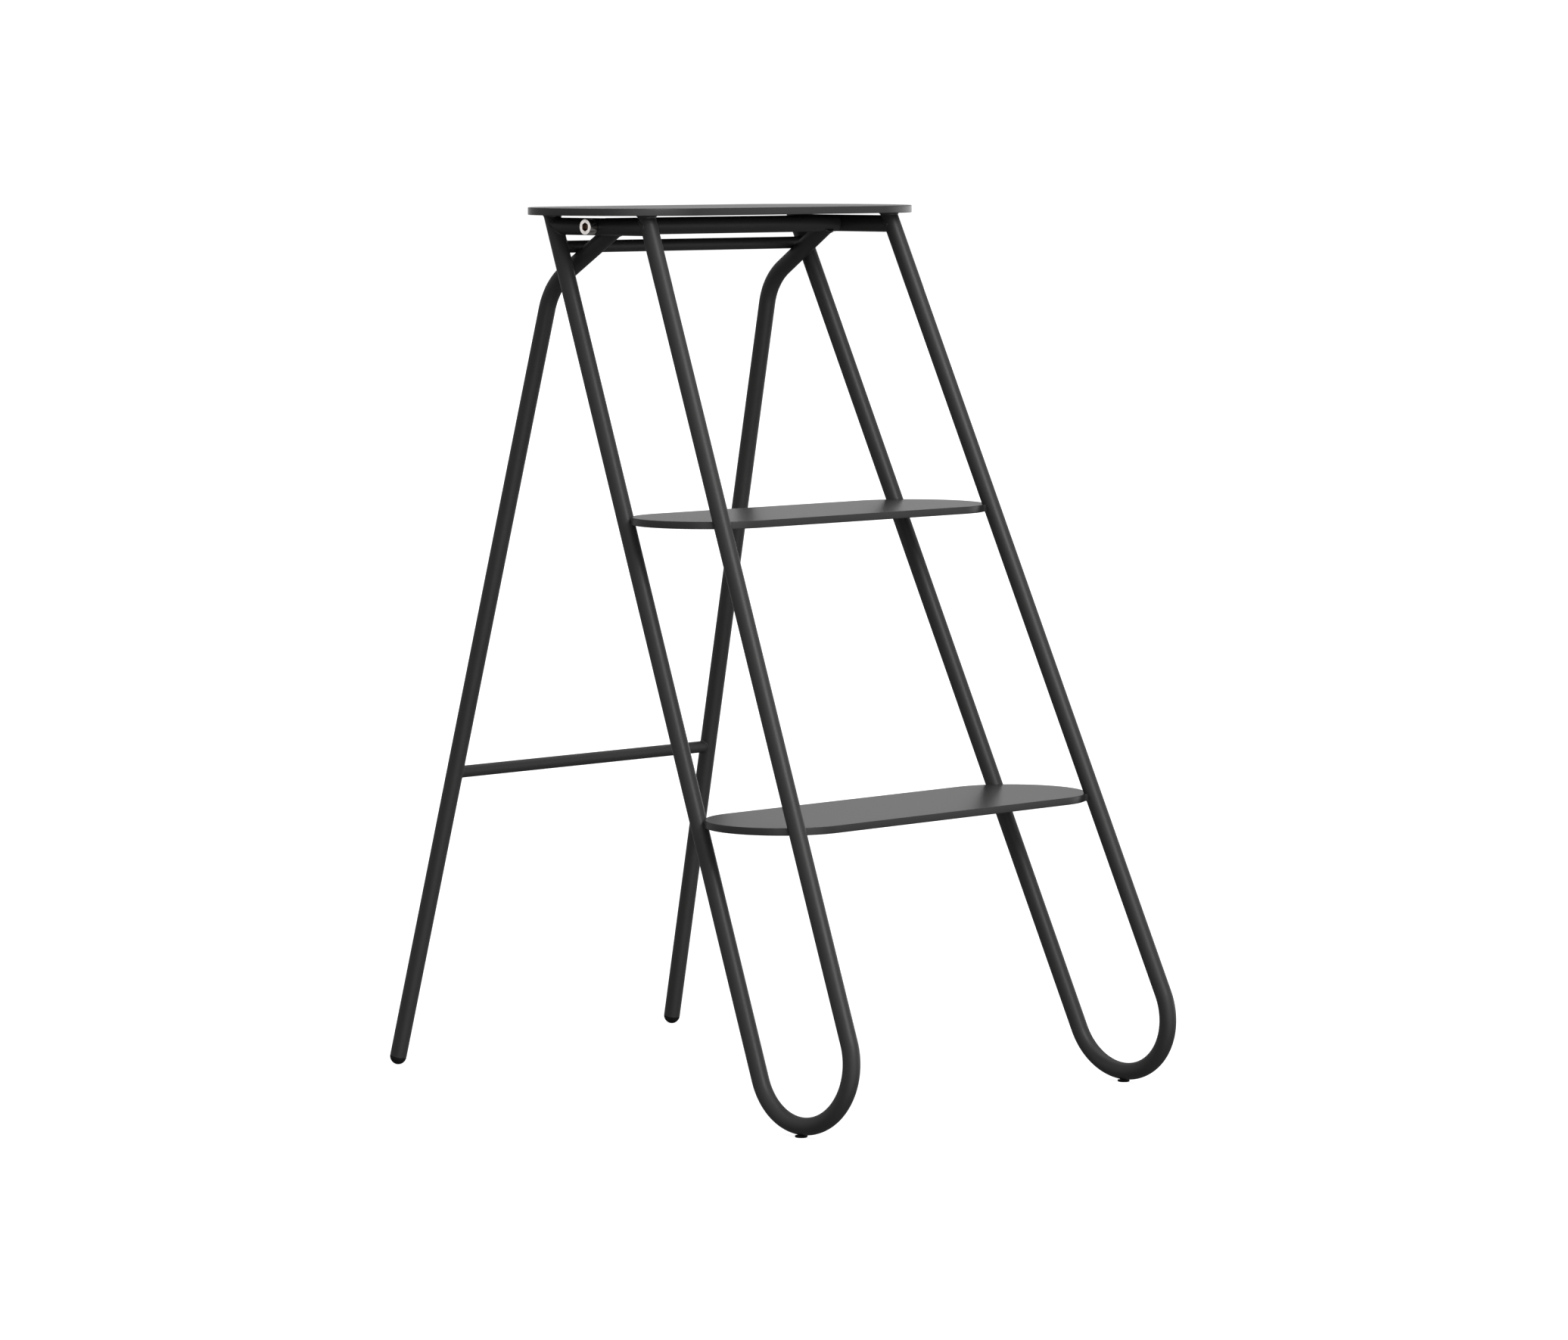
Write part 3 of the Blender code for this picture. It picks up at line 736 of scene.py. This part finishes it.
def make_end_cap(hand, side):
    """A domed rubber plug, with a fine chamfer where it leaves the tube."""
    turns = (math.pi / 2 * k / CAP_STEPS for k in range(1, CAP_STEPS))
    dome = [(TUBE_RADIUS * math.cos(a), CAP_DOME * math.sin(a)) for a in turns]
    profile = [(0, -CAP_STEM_LENGTH), (CAP_STEM_RADIUS, -CAP_STEM_LENGTH), (CAP_STEM_RADIUS, 0),
               (TUBE_RADIUS - 3 * CAP_CHAMFER, 0), (TUBE_RADIUS - CAP_CHAMFER, CAP_CHAMFER),
               *dome, (0, CAP_DOME)]
    bm = turned(profile, axis_matrix(leg_point(side, LEG_END_HEIGHT), leg_down(side)))
    piece(f"end_cap_rubber_{hand}", bm, "rear_frame", RUBBER, [f"rear_end_cap_{hand}"])


def hexagon(center, axis, across_flats):
    """Points round a hexagon, as many as round a circle, so that the two can be bridged."""
    points = []
    for point in circle(center, axis, UP, 1.0, TUBE_SIDES):
        ray = point - center
        turn = math.atan2(ray.dot(axis.cross(UP)), ray.dot(UP)) % (math.pi / 3)
        points.append(center + ray * (across_flats / 2 / math.cos(turn - math.pi / 6)))
    return points


def make_pivot_bolt(hand, side):
    """A socket cap screw: rounded head edge, countersunk hexagon socket with a drilled bottom."""
    outward = ALONG_X * side
    seat = Vector((side * (RAIL_X + TUBE_RADIUS + GAP), HINGE.y, HINGE.z))
    tip = HINGE_TUBE_END - BOLT_REACH - abs(seat.x)
    edge = SMALL_EDGE
    floor = BOLT_HEAD_HEIGHT - SOCKET_DEPTH
    profile = [(BOLT_SHANK_RADIUS - edge, tip), (BOLT_SHANK_RADIUS, tip + edge), (BOLT_SHANK_RADIUS, 0),
               *rounded(GAP, (BOLT_HEAD_RADIUS - GAP, GAP), -90, 0),
               *rounded(edge, (BOLT_HEAD_RADIUS - edge, BOLT_HEAD_HEIGHT - edge), 0, 90)]
    socket = ((BOLT_HEAD_HEIGHT, SOCKET_ACROSS_FLATS + 2 * SOCKET_MOUTH),
              (BOLT_HEAD_HEIGHT - SOCKET_MOUTH, SOCKET_ACROSS_FLATS), (floor, SOCKET_ACROSS_FLATS))
    rings = [circle(seat + outward * z, outward, UP, r, TUBE_SIDES) for r, z in profile]
    rings += [hexagon(seat + outward * z, outward, across_flats) for z, across_flats in socket]
    rings.append(circle(seat + outward * floor, outward, UP, SOCKET_DRILL_RADIUS, TUBE_SIDES))
    bm = bmesh.new()
    verts = [[bm.verts.new(point) for point in ring] for ring in rings]
    skin(bm, verts)
    # the tip and the drilled bottom close to a point
    for ring, height in ((verts[0], tip), (verts[-1], floor - SOCKET_DRILL_DEPTH)):
        point = bm.verts.new(seat + outward * height)
        for k, vert in enumerate(ring):
            bm.faces.new((vert, ring[(k + 1) % TUBE_SIDES], point))
    piece(f"socket_screw_{hand}", bm, "rear_frame", STEEL, [f"pivot_bolt_{hand}"],
          SCREW_SMOOTH_ANGLE)


def dress_inserts():
    """The threaded inserts keep their CAD solids, in the screws' steel."""
    for hand in SIDES:
        insert = frame["nodes"][f"threaded_insert_{hand}"]
        insert.data.materials.clear()
        insert.data.materials.append(STEEL)


# ---------------------------------------------------------------- studio
BACKDROP = 1.05                         # how bright the world and the far floor look to the camera
CAMERA_RIGHT = (0.695, -0.719, 0)       # directions from the object
BEHIND = (0.966, 0.259, 0)              # as the camera sees it
IN_FRONT = (-0.30, -0.94, 0)            # of the steps


def area_light(name, place, target, size, power):
    data = bpy.data.lights.new(name, "AREA")
    data.shape = "RECTANGLE"
    data.size, data.size_y = size
    data.energy = power
    light = bpy.data.objects.new(name, data)
    light.location = place
    light.rotation_euler = (Vector(target) - Vector(place)).to_track_quat("-Z", "Y").to_euler()
    light.visible_camera = False
    bpy.context.scene.collection.objects.link(light)
    return light


def make_lights():
    """A key to the right of the camera, a soft light overhead, and two cards that only the bolts
    see."""
    middle = (0, 0.05, 0.38)
    area_light("key", (-0.50, -2.5, 2.0), middle, (1.1, 1.2), 30)
    area_light("top", (0.2, -0.2, 2.8), middle, (1.8, 1.8), 12)
    cards = (area_light("bolt_card", (-1.3, 1.2, 0.75), HINGE, (1.2, 0.9), 3.3),
             area_light("bolt_side_card", (1.08, -1.0, 0.585), HINGE, (1.2, 0.35), 2.2))
    bolts = bpy.data.collections.new("lit_by_bolt_cards")
    for hand in SIDES:
        bolts.objects.link(bpy.data.objects[f"socket_screw_{hand}"])
    for card in cards:
        card.light_linking.receiver_collection = bolts


def make_world():
    """White to the camera. What lights the object is a dome, brighter to the camera's right and
    overhead and dim low down, with a glow at the horizon behind the object, a darker part above
    that glow, and a wide glow in front."""
    world = bpy.data.worlds.new("studio")
    world.use_nodes = True
    world.node_tree.nodes.clear()
    sky = Nodes(world.node_tree)
    direction = sky.add("TexCoord", {}).outputs["Generated"]
    height = sky.add("SeparateXYZ", {0: direction}).outputs["Z"]

    def smooth(value, start, end, low, high):
        return sky.ramp(value, start, end, low, high, "SMOOTHSTEP")

    def toward(way):
        return sky.vector_math("DOT_PRODUCT", direction, way, output="Value")

    def lobe(way, start, end, strength, *height_ramps):
        """Extra light round a direction, faded in and out with height."""
        light = smooth(toward(way), start, end, 0.0, strength)
        for height_ramp in height_ramps:
            light = sky.math("MULTIPLY", light, smooth(height, *height_ramp))
        return light

    level = sky.math("MULTIPLY", smooth(toward(CAMERA_RIGHT), -1, 1, 0.34, 0.46),
                     smooth(height, -0.6, 0.25, 0.35, 1.0))
    extras = (lobe(BEHIND, 0.4, 0.94, 1.2, (-0.25, -0.02, 0, 1), (0.0, 0.28, 1, 0)),
              lobe(BEHIND, 0.4, 0.94, -0.20, (0.0, 0.1, 0, 1), (0.3, 0.7, 1, 0)),
              lobe(IN_FRONT, 0.62, 0.97, 0.75, (-0.75, -0.35, 0, 1), (0.0, 0.5, 1, 0)),
              smooth(height, 0.2, 1.0, 0.0, 0.25))
    for extra in extras:
        level = sky.math("ADD", level, extra)
    lit = sky.add("Background", {"Color": WHITE, "Strength": level}).outputs[0]
    backdrop = sky.add("Background", {"Color": WHITE, "Strength": BACKDROP}).outputs[0]
    seen = sky.add("LightPath", {}).outputs["Is Camera Ray"]
    mixed = sky.add("MixShader", {0: seen, 1: lit, 2: backdrop}).outputs[0]
    sky.add("OutputWorld", {"Surface": mixed})
    bpy.context.scene.world = world


def make_floor():
    """A wide pale floor that fades into the white beyond it, and keeps faint shadows at the feet."""
    bm = bmesh.new()
    bmesh.ops.create_circle(bm, cap_ends=True, segments=96, radius=25)
    floor = mesh_object("floor", bm)
    paper = MaterialNodes("pale_floor")
    tone = paper.mix(paper.between(paper.noise(0.6), 0, 1), grey(0.48), grey(0.50))
    paper.set("Base Color", tone)
    paper.set("Roughness", 0.9)
    paper.set("Emission Color", WHITE)
    distance = paper.vector_math("LENGTH", paper.place, output="Value")
    paper.set("Emission Strength", paper.between(distance, 0.86, BACKDROP, (0.6, 3.0)))
    floor.data.materials.append(paper.material)
    floor.visible_diffuse = False
    floor.visible_glossy = False


def make_camera():
    """A long lens to the front left, a little above the platform."""
    data = bpy.data.cameras.new("camera")
    data.sensor_width = 36
    data.lens = 137.73
    data.clip_start, data.clip_end = 0.1, 100
    camera = bpy.data.objects.new("camera", data)
    tilt_down, heading = 0.08968, -0.80187
    camera.location = (-3.52597, -3.43128, 0.78189)
    camera.rotation_euler = (math.pi / 2 - tilt_down, 0, heading)
    bpy.context.scene.collection.objects.link(camera)
    bpy.context.scene.camera = camera


make_camera()
make_plates()
make_hairpins()
make_rails()
make_foot_pads()
make_bushes()
make_rear_frame()
dress_inserts()
make_world()
make_lights()
make_floor()
bpy.context.scene.view_settings.view_transform = "Standard"
